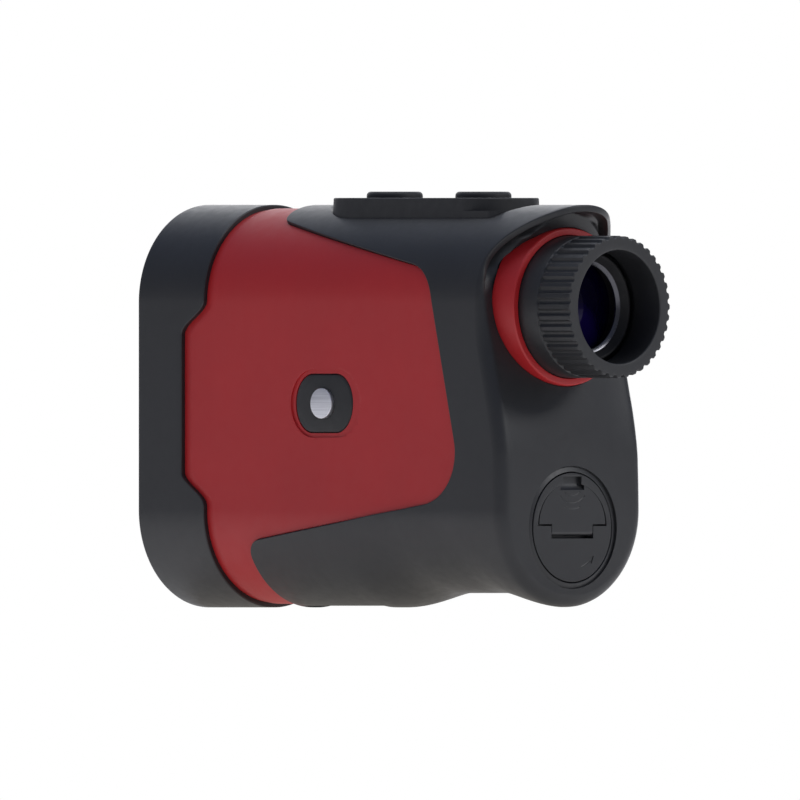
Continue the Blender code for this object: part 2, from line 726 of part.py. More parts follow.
def make_cap():
    """Screw-in battery cap with a recess for the flip handle."""
    at = (0, 0, BATTERY_HEIGHT)
    cap = turned("battery_cap", [
        (0, REAR_FACE), (CAP_RADIUS - 0.25, REAR_FACE), (CAP_RADIUS, REAR_FACE - 0.25),
        (CAP_RADIUS, 91.8), (8.9, 91.8), (8.9, 88.2), (7.6, 88.2), (7.6, 91.6), (0, 91.6),
    ], BLACK_PLASTIC, at=at, steps=36)
    combine(cap, extruded("handle_recess", handle_outline(GAP), REAR_FACE - 1.3, 100, "front"))
    stem_recess = STEM_HALF + GAP
    combine(cap, block("stem_recess", (-stem_recess, stem_recess), (REAR_FACE - 1.9, 100),
                       (HANDLE_BASE - STEM_DROP - GAP, HANDLE_BASE + 0.4)))
    combine(cap, block("nail_notch", (-1.9, 1.9), (REAR_FACE - 1.1, 100), (HANDLE_BASE + 8.0, 24.0)))
    pin_at = (0, HINGE_DEPTH, HINGE_HEIGHT)
    combine(cap, turned("pin_bore", rod(0.42, -6.7, 6.7), at=pin_at, along="left", steps=12))
    turned("handle_pin", rod(0.34, -6.4, 6.4), STEEL, at=pin_at, along="left", steps=12)

    handle = extruded("cap_handle", handle_outline(0), REAR_FACE - 1.0, REAR_FACE, "front", BLACK_PLASTIC)
    stem = extruded("handle_stem", stem_side(), -STEM_HALF, STEM_HALF, "side")
    combine(handle, block("stem_gap", (-9, 9), (92, 96), (12, HANDLE_BASE - 0.001)))
    combine(handle, stem, 'UNION')
    combine(handle, turned("handle_bore", rod(0.42, -7, 7), at=pin_at, along="left", steps=12))
    set_origin(handle, place(*pin_at))


def stem_side():
    """Side view of the handle's stem: a round foot about the pin, and a flat rear face."""
    foot = arc((HINGE_DEPTH, HINGE_HEIGHT), (HINGE_RADIUS, HINGE_RADIUS), -180, 0, 10)
    return foot + [(REAR_FACE, HANDLE_BASE + 0.5), (REAR_FACE - 1.0, HANDLE_BASE + 0.5),
                   (HINGE_DEPTH - HINGE_RADIUS, HANDLE_BASE - 0.2)]


clear_scene()
make_housing()
make_hood()
make_red_panels()
make_magnet()
make_bezel()
make_keypad()
make_eyepiece()
make_front_optics()
make_bench()
make_electronics()
make_battery()
make_cap()
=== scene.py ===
"""Looks of the handheld laser rangefinder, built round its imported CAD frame.

Sizes are millimetres and become metres where a mesh is made. A place along the body is
its depth, the distance behind the hood's front rim, and heights count from the casing's
lowest point. Points on the casing's skin are (arc, depth, inset): arc runs from the top
of the section down its right side, and inset is how far below the skin the point lies.
"""

import math

import bmesh
import bpy
import numpy as np
from mathutils import Matrix, Vector


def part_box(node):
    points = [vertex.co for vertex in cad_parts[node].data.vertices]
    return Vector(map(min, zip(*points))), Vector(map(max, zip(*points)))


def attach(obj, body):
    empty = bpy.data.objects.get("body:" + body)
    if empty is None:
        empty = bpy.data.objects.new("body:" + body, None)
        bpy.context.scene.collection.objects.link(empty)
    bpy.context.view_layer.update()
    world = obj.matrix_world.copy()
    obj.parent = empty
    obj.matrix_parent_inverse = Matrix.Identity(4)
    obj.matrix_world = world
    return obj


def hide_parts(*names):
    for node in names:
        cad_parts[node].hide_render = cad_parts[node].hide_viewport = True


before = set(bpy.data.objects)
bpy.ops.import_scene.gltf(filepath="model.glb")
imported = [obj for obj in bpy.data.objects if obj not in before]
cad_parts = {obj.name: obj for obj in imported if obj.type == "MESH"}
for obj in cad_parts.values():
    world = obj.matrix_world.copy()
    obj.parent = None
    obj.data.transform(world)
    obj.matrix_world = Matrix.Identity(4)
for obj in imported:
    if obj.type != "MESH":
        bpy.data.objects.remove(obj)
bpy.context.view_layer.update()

MM = 0.001
HOOD_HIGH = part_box("front_hood")[1]
FRONT_Y = HOOD_HIGH.y / MM
HALF_WIDTH = HOOD_HIGH.x / MM
HEIGHT = HOOD_HIGH.z / MM


def axis_height(node):
    """Height of a turned CAD node's axis."""
    low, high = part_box(node)
    return (low.z + high.z) / 2 / MM


EYE_HEIGHT = axis_height("diopter_ring")
BATTERY_HEIGHT = axis_height("battery_cap")
RECEIVER_HEIGHT = axis_height("receiver_lens")

# Section of the casing
CORNER = 17.7
FLAT = HALF_WIDTH - CORNER
QUARTER = CORNER * math.pi / 2
SIDE = HEIGHT - 2 * CORNER
ARC_TOP = FLAT
ARC_END = FLAT + 2 * QUARTER + SIDE

# Depths
HOOD_SIDE_REAR = 11.3        # rear edge of the hood on its sides
HOOD_REACH = 5.75            # how much further back it runs above and below
BODY_FRONT = 27.2
WINDOW_TOP_FRONT = 28.5
CAVITY_REAR = 87.3
REAR_FACE = 94.4
CUT_REAR = 112.0             # tools that open the rear face end here, clear of the body

# Insets and walls
WALL = 3.4
LIP_WALL = 1.25              # least wall between the skin and the brow's hollow
BROW_HOLLOW = 2.6
GROOVE_LIFT = 2.6            # most that the finger groove lifts the bottom
RED_INSET = 0.65
RED_FRONT_INSET = 0.9        # the red rolls down to this at the hood's edge
RED_INNER = 1.8
HOOD_WALL = 1.8
SEAM = 0.04                  # gap between the red panel and the black casing

# The boss on the left side
BOSS_DEPTH = 47.5
SIDE_MIDDLE = 37.0           # height of the boss, and of the middle of the hood's short sides
BOSS_ARM = 3.1               # from the boss's middle to the centre of each round end

# The cap's half-moon handle
HANDLE_FOOT = 15.1
HANDLE_HALF_WIDTH = 8.35
HANDLE_RISE = 7.5

GRAIN_DEPTH = 0.03
SHARP_DEGREES = 38           # edges that turn more than this stay sharp


# ---------------------------------------------------------------- materials

def node_link(tree, source, target):
    """Link one node's output to another node's input."""
    tree.links.new(source, target)


def coordinates(tree, stretch=(1, 1, 1)):
    """Object coordinates, stretched, as the output of a Mapping node."""
    coords = tree.nodes.new("ShaderNodeTexCoord")
    mapping = tree.nodes.new("ShaderNodeMapping")
    mapping.inputs["Scale"].default_value = stretch
    node_link(tree, coords.outputs["Object"], mapping.inputs["Vector"])
    return mapping.outputs["Vector"]


def noise(tree, vector, scale, detail=3.0):
    """Noise of the given scale, as a value from 0 to 1."""
    texture = tree.nodes.new("ShaderNodeTexNoise")
    texture.inputs["Scale"].default_value = scale
    texture.inputs["Detail"].default_value = detail
    texture.inputs["Roughness"].default_value = 0.55
    node_link(tree, vector, texture.inputs["Vector"])
    return texture.outputs["Fac"]


def spread(tree, value, low, high):
    """Map a 0.3 to 0.7 noise value to the range low to high."""
    mapping = tree.nodes.new("ShaderNodeMapRange")
    mapping.inputs["From Min"].default_value = 0.3
    mapping.inputs["From Max"].default_value = 0.7
    mapping.inputs["To Min"].default_value = low
    mapping.inputs["To Max"].default_value = high
    node_link(tree, value, mapping.inputs["Value"])
    return mapping.outputs["Result"]


def tinted(tree, value, dark, light):
    """A colour that wanders between two tints."""
    mix = tree.nodes.new("ShaderNodeMix")
    mix.data_type = 'RGBA'
    mix.inputs["A"].default_value = (*dark, 1)
    mix.inputs["B"].default_value = (*light, 1)
    node_link(tree, value, mix.inputs["Factor"])
    return mix.outputs["Result"]


def bumped(tree, height, strength):
    """The normal of a surface with a fine grain pressed into it."""
    bump = tree.nodes.new("ShaderNodeBump")
    bump.inputs["Strength"].default_value = strength
    bump.inputs["Distance"].default_value = GRAIN_DEPTH * MM
    node_link(tree, height, bump.inputs["Height"])
    return bump.outputs["Normal"]


def surface(name, dark, light, rough, metallic=0.0, grain=9000, grain_strength=0.25,
            mottle=60, stretch=(1, 1, 1), coat=0.0, sheen=0.0):
    """A moulded or machined finish: grain in the bump, slow drift in colour and roughness."""
    material = bpy.data.materials.new(name)
    material.use_nodes = True
    tree = material.node_tree
    shader = tree.nodes["Principled BSDF"]
    vector = coordinates(tree, stretch)
    drift = noise(tree, vector, mottle, detail=4.0)
    fine = noise(tree, vector, grain, detail=2.0)
    node_link(tree, tinted(tree, spread(tree, drift, 0, 1), dark, light), shader.inputs["Base Color"])
    node_link(tree, spread(tree, noise(tree, vector, mottle * 9), *rough), shader.inputs["Roughness"])
    node_link(tree, bumped(tree, fine, grain_strength), shader.inputs["Normal"])
    shader.inputs["Metallic"].default_value = metallic
    shader.inputs["Coat Weight"].default_value = coat
    shader.inputs["Coat Roughness"].default_value = 0.3
    shader.inputs["Sheen Weight"].default_value = sheen
    return material


def coated_glass(name, core, edge, turn=(0.0, 1.0), specular=0.6, coat=0.6):
    """Dark lens glass whose coating turns from one tint to another as it is seen more aslant."""
    material = bpy.data.materials.new(name)
    material.use_nodes = True
    tree = material.node_tree
    shader = tree.nodes["Principled BSDF"]
    facing = tree.nodes.new("ShaderNodeLayerWeight")
    facing.inputs["Blend"].default_value = 0.5
    aslant = tree.nodes.new("ShaderNodeMapRange")
    aslant.inputs["From Min"].default_value = turn[0]
    aslant.inputs["From Max"].default_value = turn[1]
    node_link(tree, facing.outputs["Facing"], aslant.inputs["Value"])
    vector = coordinates(tree)
    drift = spread(tree, noise(tree, vector, 90, detail=1.0), -0.1, 0.1)
    total = tree.nodes.new("ShaderNodeMath")
    total.use_clamp = True
    node_link(tree, aslant.outputs["Result"], total.inputs[0])
    node_link(tree, drift, total.inputs[1])
    node_link(tree, tinted(tree, total.outputs["Value"], core, edge), shader.inputs["Base Color"])
    node_link(tree, spread(tree, noise(tree, vector, 400), 0.03, 0.07), shader.inputs["Roughness"])
    shader.inputs["Specular IOR Level"].default_value = specular
    shader.inputs["Coat Weight"].default_value = coat
    shader.inputs["Coat Roughness"].default_value = 0.03
    return material


BLACK = surface("black_plastic", (0.0125, 0.013, 0.0145), (0.016, 0.0165, 0.018), (0.40, 0.47),
                grain=7000, grain_strength=0.22)
BLACK_FINE = surface("black_plastic_fine", (0.011, 0.0115, 0.0125), (0.0145, 0.015, 0.0165),
                     (0.46, 0.54), grain=9500, grain_strength=0.14)
INNER_BLACK = surface("matt_black", (0.007, 0.007, 0.008), (0.010, 0.010, 0.011), (0.62, 0.74),
                      grain=8000, grain_strength=0.3)
RED = surface("red_plastic", (0.365, 0.0080, 0.0105), (0.40, 0.0090, 0.0115), (0.46, 0.54),
              grain=8000, grain_strength=0.2, mottle=45)
RUBBER = surface("black_rubber", (0.0125, 0.0125, 0.013), (0.0165, 0.0165, 0.017), (0.58, 0.68),
                 grain=6500, grain_strength=0.32, sheen=0.05)
STEEL_BRUSHED = surface("brushed_steel", (0.58, 0.58, 0.61), (0.74, 0.74, 0.77), (0.30, 0.42),
                        metallic=0.85, grain=900, grain_strength=0.35, mottle=700, stretch=(1, 0.12, 6))
STEEL = surface("steel", (0.42, 0.42, 0.44), (0.55, 0.55, 0.57), (0.25, 0.36), metallic=1.0,
                grain=5000, grain_strength=0.1, mottle=200)
ALUMINIUM = surface("turned_aluminium", (0.38, 0.38, 0.39), (0.5, 0.5, 0.51), (0.3, 0.42),
                    metallic=1.0, grain=1500, grain_strength=0.2, mottle=150, stretch=(1, 8, 1))
BLACK_ANODISED = surface("black_anodised", (0.012, 0.012, 0.014), (0.018, 0.018, 0.02),
                         (0.3, 0.38), metallic=0.6, grain=3000, grain_strength=0.1, stretch=(1, 8, 1))
CELL_EDGE = surface("polished_edge", (0.06, 0.06, 0.065), (0.09, 0.09, 0.10), (0.20, 0.28),
                    metallic=0.9, grain=3000, grain_strength=0.08)
BOARD = surface("circuit_board", (0.008, 0.075, 0.03), (0.014, 0.11, 0.045), (0.28, 0.4),
                grain=2500, grain_strength=0.3, mottle=350, coat=0.3)
GREY = surface("grey_plastic", (0.05, 0.05, 0.055), (0.065, 0.065, 0.07), (0.45, 0.55))
WRAP = surface("battery_wrap", (0.25, 0.19, 0.04), (0.33, 0.25, 0.06), (0.25, 0.35),
               grain=2000, grain_strength=0.05, mottle=120, coat=0.4)
EYE_GLASS = coated_glass("eye_glass", (0.035, 0.010, 0.26), (0.0012, 0.0005, 0.010), (0.07, 0.14),
                         specular=0.12, coat=0.0)
FRONT_GLASS = coated_glass("front_glass", (0.004, 0.012, 0.016), (0.035, 0.006, 0.045))
PRISM_GLASS = coated_glass("prism_glass", (0.08, 0.10, 0.12), (0.2, 0.24, 0.27))


# ---------------------------------------------------------------- mesh helpers

def place(x, depth, height):
    """World point of a place given in millimetres."""
    return Vector((x, FRONT_Y - depth, height)) * MM


def smooth_step(value):
    """Smooth rise from 0 to 1 as value goes from 0 to 1, level outside."""
    t = np.clip(value, 0.0, 1.0)
    return t * t * (3 - 2 * t)


def curve_through(points):
    """A smooth function through (x, y) points in rising x, for arrays."""
    xs, ys = np.array(points, dtype=float).T
    slopes = np.gradient(ys, xs)

    def value(x):
        x = np.asarray(x, dtype=float)
        i = np.clip(np.searchsorted(xs, x) - 1, 0, len(xs) - 2)
        span = xs[i + 1] - xs[i]
        t = np.clip((x - xs[i]) / span, 0.0, 1.0)
        rise = smooth_step(t)
        bend = t * (1 - t) ** 2 * slopes[i] + t * t * (t - 1) * slopes[i + 1]
        return ys[i] * (1 - rise) + ys[i + 1] * rise + bend * span

    return value


def rounded_outline(corners, steps, closed):
    """Points of an outline whose (x, y, radius) corners are filleted."""
    outline = []
    for i, (x, y, radius) in enumerate(corners):
        corner = Vector((x, y))
        if radius == 0 or (not closed and i in (0, len(corners) - 1)):
            outline.append((x, y))
            continue
        to_last = (Vector(corners[i - 1][:2]) - corner).normalized()
        to_next = (Vector(corners[(i + 1) % len(corners)][:2]) - corner).normalized()
        half = to_last.angle(to_next) / 2
        centre = corner + (to_last + to_next).normalized() * (radius / math.sin(half))
        reach = radius / math.tan(half)
        first = corner + to_last * reach - centre
        turn = first.angle_signed(corner + to_next * reach - centre)
        for step in range(steps + 1):
            arm = Matrix.Rotation(-turn * step / steps, 2) @ first
            outline.append(tuple(centre + arm))
    return outline


def resampled(points, count):
    """The open polyline with count points evenly spaced along it."""
    points = np.asarray(points, dtype=float)
    lengths = np.hypot(*np.diff(points, axis=0).T)
    along = np.concatenate([[0], np.cumsum(lengths)])
    even = np.linspace(0, along[-1], count)
    return np.column_stack([np.interp(even, along, points[:, k]) for k in range(points.shape[1])])


def finish_mesh(name, bm, material, sharp=SHARP_DEGREES):
    """Weld a mesh, turn its faces outwards and put it in the scene."""
    bmesh.ops.remove_doubles(bm, verts=bm.verts, dist=0.001 * MM)
    bmesh.ops.recalc_face_normals(bm, faces=bm.faces)
    mesh = bpy.data.meshes.new(name)
    bm.to_mesh(mesh)
    bm.free()
    mesh.shade_smooth()
    mesh.set_sharp_from_angle(angle=math.radians(sharp))
    obj = bpy.data.objects.new(name, mesh)
    bpy.context.scene.collection.objects.link(obj)
    if material:
        mesh.materials.append(material)
    return obj


def bake_modifiers(obj):
    """Replace an object's mesh by what its modifiers make of it."""
    graph = bpy.context.evaluated_depsgraph_get()
    mesh = bpy.data.meshes.new_from_object(obj.evaluated_get(graph))
    mesh.name = obj.name
    obj.modifiers.clear()
    obj.data = mesh
    mesh.shade_smooth()
    mesh.set_sharp_from_angle(angle=math.radians(SHARP_DEGREES))


def carve(obj, *tools, operation='DIFFERENCE'):
    """Cut or join tools into an object and remove them."""
    for tool in tools:
        modifier = obj.modifiers.new(tool.name, 'BOOLEAN')
        modifier.object = tool
        modifier.operation = operation
        modifier.solver = 'EXACT'
    bpy.context.view_layer.update()
    bake_modifiers(obj)
    for tool in tools:
        bpy.data.objects.remove(tool, do_unlink=True)


def soften(obj, width, near):
    """Bevel the sharp edges whose middle satisfies near(x, depth, height) in mm."""
    least_angle = math.radians(35)
    bm = bmesh.new()
    bm.from_mesh(obj.data)
    layer = bm.edges.layers.float.new("bevel_weight_edge")
    for edge in bm.edges:
        if len(edge.link_faces) != 2 or edge.calc_face_angle(0) < least_angle:
            continue
        middle = (edge.verts[0].co + edge.verts[1].co) / 2 / MM
        if near(middle.x, FRONT_Y - middle.y, middle.z):
            edge[layer] = 1.0
    bm.to_mesh(obj.data)
    bm.free()
    bevel = obj.modifiers.new("Edges", 'BEVEL')
    bevel.limit_method = 'WEIGHT'
    bevel.width = width * MM
    bevel.segments = 2
    bevel.use_clamp_overlap = True
    bpy.context.view_layer.update()
    bake_modifiers(obj)


def weigh_normals(obj):
    """Let the large faces set the shading, so that flats look flat."""
    modifier = obj.modifiers.new("Normals", 'WEIGHTED_NORMAL')
    modifier.keep_sharp = True
    modifier.weight = 60


def join_loops(bm, a, b, closed=True):
    """Faces between two loops of vertices, or two open rows."""
    for i in range(len(a) if closed else len(a) - 1):
        j = (i + 1) % len(a)
        bm.faces.new((a[i], a[j], b[j], b[i]))


def turned(name, corners, material=None, x=0.0, depth=0.0, height=0.0, along="back", steps=96):
    """A turned piece from (radius, distance, fillet) corners. It is a ring unless it starts at 0."""
    closed = corners[0][0] > 0
    profile = rounded_outline(corners, steps=4, closed=closed)
    centre = place(x, depth, height)
    bm = bmesh.new()
    loops = []
    for k in range(steps):
        angle = 2 * math.pi * k / steps
        across, up = math.cos(angle), math.sin(angle)
        loop = []
        for radius, distance in profile:
            offset = {
                "back": (radius * across, -distance, radius * up),
                "up": (radius * across, radius * up, distance),
                "left": (-distance, radius * across, radius * up),
            }[along]
            loop.append(bm.verts.new(centre + Vector(offset) * MM))
        loops.append(loop)
    for a, b in zip(loops, loops[1:] + loops[:1]):
        join_loops(bm, a, b, closed)
    return finish_mesh(name, bm, material)


def block(name, xs, depths, heights):
    """A box from its lowest and highest x, depth and height."""
    bm = bmesh.new()
    bmesh.ops.create_cube(bm, size=1.0)
    low = place(xs[0], depths[1], heights[0])
    high = place(xs[1], depths[0], heights[1])
    shift = Matrix.Translation((low + high) / 2) @ Matrix.Diagonal((*(high - low), 1))
    bmesh.ops.transform(bm, matrix=shift, verts=bm.verts)
    return finish_mesh(name, bm, None)


def arc(centre, radii, start, end, steps):
    """Points along part of an ellipse, from one angle to another in degrees."""
    angles = np.radians(np.linspace(start, end, steps + 1))
    return [(centre[0] + radii[0] * math.cos(a), centre[1] + radii[1] * math.sin(a)) for a in angles]


def layered(name, layers, to_world, material=None):
    """A solid through closed outlines of equal point count, capped at both ends."""
    bm = bmesh.new()
    loops = [[bm.verts.new(to_world(*point)) for point in layer] for layer in layers]
    for a, b in zip(loops, loops[1:]):
        join_loops(bm, a, b)
    bm.faces.new(loops[0])
    bm.faces.new(loops[-1])
    return finish_mesh(name, bm, material)


def from_side(depth, height, x):
    """World point of an outline that is drawn on the side."""
    return place(x, depth, height)


def from_rear(x, height, depth):
    """World point of an outline that is drawn on the rear face."""
    return place(x, depth, height)


def prism(name, outline, low, high, to_world, material=None):
    """A flat outline drawn out from low to high, square to its plane."""
    layers = [[(u, v, level) for u, v in outline] for level in (low, high)]
    return layered(name, layers, to_world, material)


# ---------------------------------------------------------------- casing surface

# Depth of the rear edge by height: upright below, scooped beside the eyepiece, then the brow
REAR_PROFILE = curve_through([
    (0, 94.4), (24.5, 94.4), (28.0, 94.25), (31.1, 93.85), (35.4, 93.05), (39.8, 92.0),
    (45.3, 90.7), (49.6, 89.8), (55.0, 89.0), (60.0, 88.5), (63.4, 88.5), (65.4, 89.4),
    (67.5, 91.0), (69.1, 92.8), (70.3, 94.4), (71.5, 96.2), (72.4, 97.4), (73.0, 98.0),
])

# Depth of the rear face's middle by height, where it swells round the eyepiece
CROWN_PROFILE = curve_through([
    (0, 94.4), (26.0, 94.4), (33.0, 94.1), (40.2, 92.9), (45.3, 91.5), (49.6, 90.7), (55.0, 89.8),
    (62.0, 88.9), (63.5, 89.3), (65.0, 90.2), (66.4, 91.3), (67.3, 92.3), (68.5, 93.0), (73.0, 94.6),
])


def crown_depth(x, reach, height, foot):
    """Depth of the rear face between its foot at |x| = reach and its swollen middle.

    Low down the swell builds up all the way to the middle, high up within 3 mm of the foot.
    """
    gathered = smooth_step((height - 50.0) / 12.0)
    blend = reach + (3.0 - reach) * gathered
    return foot + (CROWN_PROFILE(height) - foot) * smooth_step((reach - abs(x)) / blend)


def groove_rise(depth):
    """How far the finger groove lifts the bottom of the body."""
    start, end = 51.3, 93.4
    return GROOVE_LIFT * smooth_step((depth - start) / 15.9) * smooth_step((end - depth) / 15.0)


def skin_height(arc_length):
    """Height on the section's outline, before any groove."""
    down = np.clip(arc_length - FLAT - QUARTER, 0, SIDE)
    return HEIGHT - CORNER - down + CORNER * np.cos(skin_turn(arc_length))


def skin_turn(arc_length):
    """Angle of the outward normal from straight up."""
    top = np.clip((arc_length - FLAT) / CORNER, 0, math.pi / 2)
    bottom = np.clip((arc_length - FLAT - QUARTER - SIDE) / CORNER, 0, math.pi / 2)
    return top + bottom


def arc_at(height):
    """Arc length down the section's right side at a height."""
    height = np.asarray(height, dtype=float)
    top = FLAT + CORNER * np.arccos(np.clip((height - HEIGHT + CORNER) / CORNER, 0, 1))
    side = np.clip(HEIGHT - CORNER - height, 0, SIDE)
    bottom = CORNER * np.arcsin(np.clip((CORNER - height) / CORNER, 0, 1))
    return top + side + bottom


def skin(arc_length, depth, inset, grooved=False):
    """World points on the right half of the casing, as an array of rows.

    The finger groove lifts only what lies outside the inner wall.
    """
    turn = skin_turn(arc_length)
    flat = np.clip(arc_length, 0, FLAT) - np.clip(arc_length - ARC_END, 0, FLAT)
    x = flat + (CORNER - inset) * np.sin(turn)
    base = skin_height(arc_length)
    height = base - inset * np.cos(turn)
    if grooved:
        rise = groove_rise(depth) * np.clip(1 - base / CORNER, 0, 1)
        height = height + np.where(np.asarray(inset) < WALL - 0.1, rise, 0)
    depth = np.broadcast_to(depth, x.shape)
    return np.column_stack([x, FRONT_Y - depth, height]) * MM


def rung_rows(bm, loop, crowned):
    """Rows of vertices across the section inside a ring, raised to the crown if asked."""
    count = len(loop)
    rows = []
    for i in range(count // 2):
        right, left = loop[i], loop[count - 1 - i]
        x, y, z = right.co / MM
        inner = []
        if crowned and x > 2.0:
            for share in np.linspace(1, -1, 41)[1:-1]:
                depth = crown_depth(x * share, x, z, FRONT_Y - y)
                inner.append(bm.verts.new(place(x * share, depth, z)))
        rows.append([right, *inner, left])
    return rows


def bridge_rows(bm, upper, lower):
    """Faces between two rows of vertices, in one piece where their counts differ."""
    if len(upper) != len(lower):
        bm.faces.new(upper + lower[::-1])
        return
    join_loops(bm, upper, lower, closed=False)


def skin_rows(name, rows, material, grooved=False, closed=False, crowned=False):
    """A solid skin through rows of (arc, depth, inset), mirrored to the left.

    An open skin is closed at its first and last row by rungs across the section.
    """
    bm = bmesh.new()
    loops = []
    for arcs, depths, insets in rows:
        points = skin(arcs, depths, insets, grooved)
        left = points[::-1] * (-1, 1, 1)
        loops.append([bm.verts.new(p) for p in np.vstack([points, left])])
    pairs = list(zip(loops, loops[1:]))
    if closed:
        pairs.append((loops[-1], loops[0]))
    else:
        for loop, swollen in ((loops[0], False), (loops[-1], crowned)):
            rungs = rung_rows(bm, loop, swollen)
            for upper, lower in zip(rungs, rungs[1:]):
                bridge_rows(bm, upper, lower)
    for a, b in pairs:
        join_loops(bm, a, b)
    return finish_mesh(name, bm, material)


def hood_edge(arcs):
    """Depth of the hood's wavy rear edge, which runs further back above and below."""
    half_side, slope_height = 12.5, 6.0
    from_middle = np.abs(skin_height(arcs) - SIDE_MIDDLE)
    return HOOD_SIDE_REAR + HOOD_REACH * smooth_step((from_middle - half_side) / slope_height)


def window_line(count):
    """The black casing's front edge as (arc, depth), from the top round the red window.

    Also gives the unit normal that points into the black, and the share of the way
    along the line at which each of the window's four corners lies.
    """
    corners = [(WINDOW_TOP_FRONT, HEIGHT, 0), (WINDOW_TOP_FRONT, 70.5, 3), (74.8, 61.35, 8),
               (84.3, 20.15, 9.5), (BODY_FRONT, 11.8, 3.5), (BODY_FRONT, 0, 0)]
    outline = np.array(rounded_outline(corners, steps=24, closed=False))
    dense = []
    for (d0, h0), (d1, h1) in zip(outline, outline[1:]):
        share = np.linspace(0, 1, 200)
        dense.append(np.column_stack([arc_at(h0 + (h1 - h0) * share), d0 + (d1 - d0) * share]))
    line = resampled(np.vstack(dense), count)
    tangent = np.gradient(line, axis=0)
    tangent /= np.linalg.norm(tangent, axis=1)[:, None]
    normal = np.column_stack([-tangent[:, 1], tangent[:, 0]])
    marks = []
    for depth, height, _ in corners[1:5]:
        offset = line - (float(arc_at(height)), depth)
        marks.append(np.argmin(np.hypot(*offset.T)) / (count - 1))
    return line, normal, marks


def quarter_turns(steps):
    """Angles from 0 to a right angle, for a rounded edge."""
    return np.radians(np.linspace(0, 90, steps + 1))


# ---------------------------------------------------------------- casing pieces

COLUMNS = 260
WINDOW, WINDOW_NORMAL, WINDOW_MARKS = window_line(COLUMNS)


def spaced_arcs(corner_arcs):
    """Arcs down the section, which reach corner_arcs where the window line turns its corners."""
    share = np.linspace(0, 1, COLUMNS)
    return np.interp(share, [0, *WINDOW_MARKS, 1], [ARC_TOP, *corner_arcs, ARC_END])


def keypad_layer(half_width, nose, shoulder, tail, height):
    """Plan of the keypad at a height: a round nose in front, then an elliptical tail."""
    front = arc((0, nose + half_width), (half_width, half_width), 180, 360, 40)
    back = arc((0, shoulder), (half_width, tail - shoulder), 0, 180, 40)
    return [(x, depth, height) for x, depth in front + back]


def housing_rows():
    """Rows of the black body's skin: the inner wall, the outside, then the brow's hollow."""
    arcs, depths = WINDOW.T
    rear_arcs = spaced_arcs([6.0, 24.0, 65.0, 85.0])
    heights = skin_height(rear_arcs)
    rear = REAR_PROFILE(heights)
    floor = rear - BROW_HOLLOW * smooth_step((heights - 57.0) / 9.0)
    radius = 2.3 - 2.0 * smooth_step((heights - 46.0) / 21.0)
    zero = np.zeros(COLUMNS)
    edge = 0.12
    rows = []
    # inner wall, forwards from the cavity's rear to the window line
    for t in np.linspace(1, 0, 9):
        rows.append((arcs + (rear_arcs - arcs) * t, depths + (CAVITY_REAR - depths) * t, zero + WALL))
    # rounded front edge, then the outside
    for a in quarter_turns(4):
        out = edge * (1 - math.cos(a))
        rows.append((arcs + WINDOW_NORMAL[:, 0] * out, depths + WINDOW_NORMAL[:, 1] * out,
                     zero + edge * (1 - math.sin(a))))
    start_arcs, start_depths = rows[-1][0], rows[-1][1]
    for t in np.linspace(0, 1, 60)[1:]:
        rows.append((start_arcs + (rear_arcs - start_arcs) * t,
                     start_depths + (rear - radius - start_depths) * t, zero))
    # rounded rear edge, whose radius is smallest on the brow
    for a in quarter_turns(7)[1:]:
        rows.append((rear_arcs, rear - radius * (1 - math.sin(a)), radius * (1 - math.cos(a))))
    # over the lip, then forwards to the floor of the brow's hollow
    inner = np.maximum(LIP_WALL, radius)
    small = np.minimum(0.15, (rear - floor) / 2)
    for a in quarter_turns(4):
        rows.append((rear_arcs, rear - small * (1 - math.cos(a)), inner - small * (1 - math.sin(a))))
    for t in (0.33, 0.66, 1.0):
        rows.append((rear_arcs, rear - small + (floor - rear + small) * t, inner))
    return rows


def housing_tools():
    """Tools for the keypad's pocket, the label's recess, the eyepiece and the battery port."""
    bore_start = 80
    pocket_rims = ((9.25, 36.05, 70.2), (9.25, 36.05, 71.6), (9.6, 35.6, 72.2),
                   (11.6, 33.6, 74.0), (11.6, 33.6, 78.0))
    pocket = layered("pocket", [
        keypad_layer(half_width, nose, 81.7, 121.45 - nose, height)
        for half_width, nose, height in pocket_rims
    ], place)
    label = block("label", (-10, 10), (28.0, 49.2), (-2, 0.3))
    seat = turned("seat", [
        (0, 88.5, 0), (15.12, 88.5, 0), (14.42, 93.45, 0), (14.42, CUT_REAR, 0), (0, CUT_REAR, 0),
    ], height=EYE_HEIGHT, steps=128)
    tunnel = turned("tunnel", [
        (0, bore_start, 0), (11.5, bore_start, 0), (11.5, CUT_REAR, 0), (0, CUT_REAR, 0),
    ], height=EYE_HEIGHT)
    port = turned("port", [
        (0, bore_start, 0), (10.1, bore_start, 0), (10.1, REAR_FACE - 0.12, 0),
        (10.2, REAR_FACE - 0.04, 0), (11.1, REAR_FACE - 0.35, 0), (11.15, REAR_FACE + 0.1, 0),
        (11.15, CUT_REAR, 0), (0, CUT_REAR, 0),
    ], height=BATTERY_HEIGHT, steps=128)
    return pocket, label, seat, tunnel, port


def make_housing():
    """Black body: the skin round the red window, the rounded rear and the brow's hollow."""
    housing = skin_rows("housing_shell", housing_rows(), BLACK, grooved=True, crowned=True)
    carve(housing, *housing_tools())
    soften(housing, 0.18, lambda x, depth, height: height > 70.3 and 35 < depth < 87 and abs(x) < 10)
    weigh_normals(housing)
    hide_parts("main_housing")
    return housing


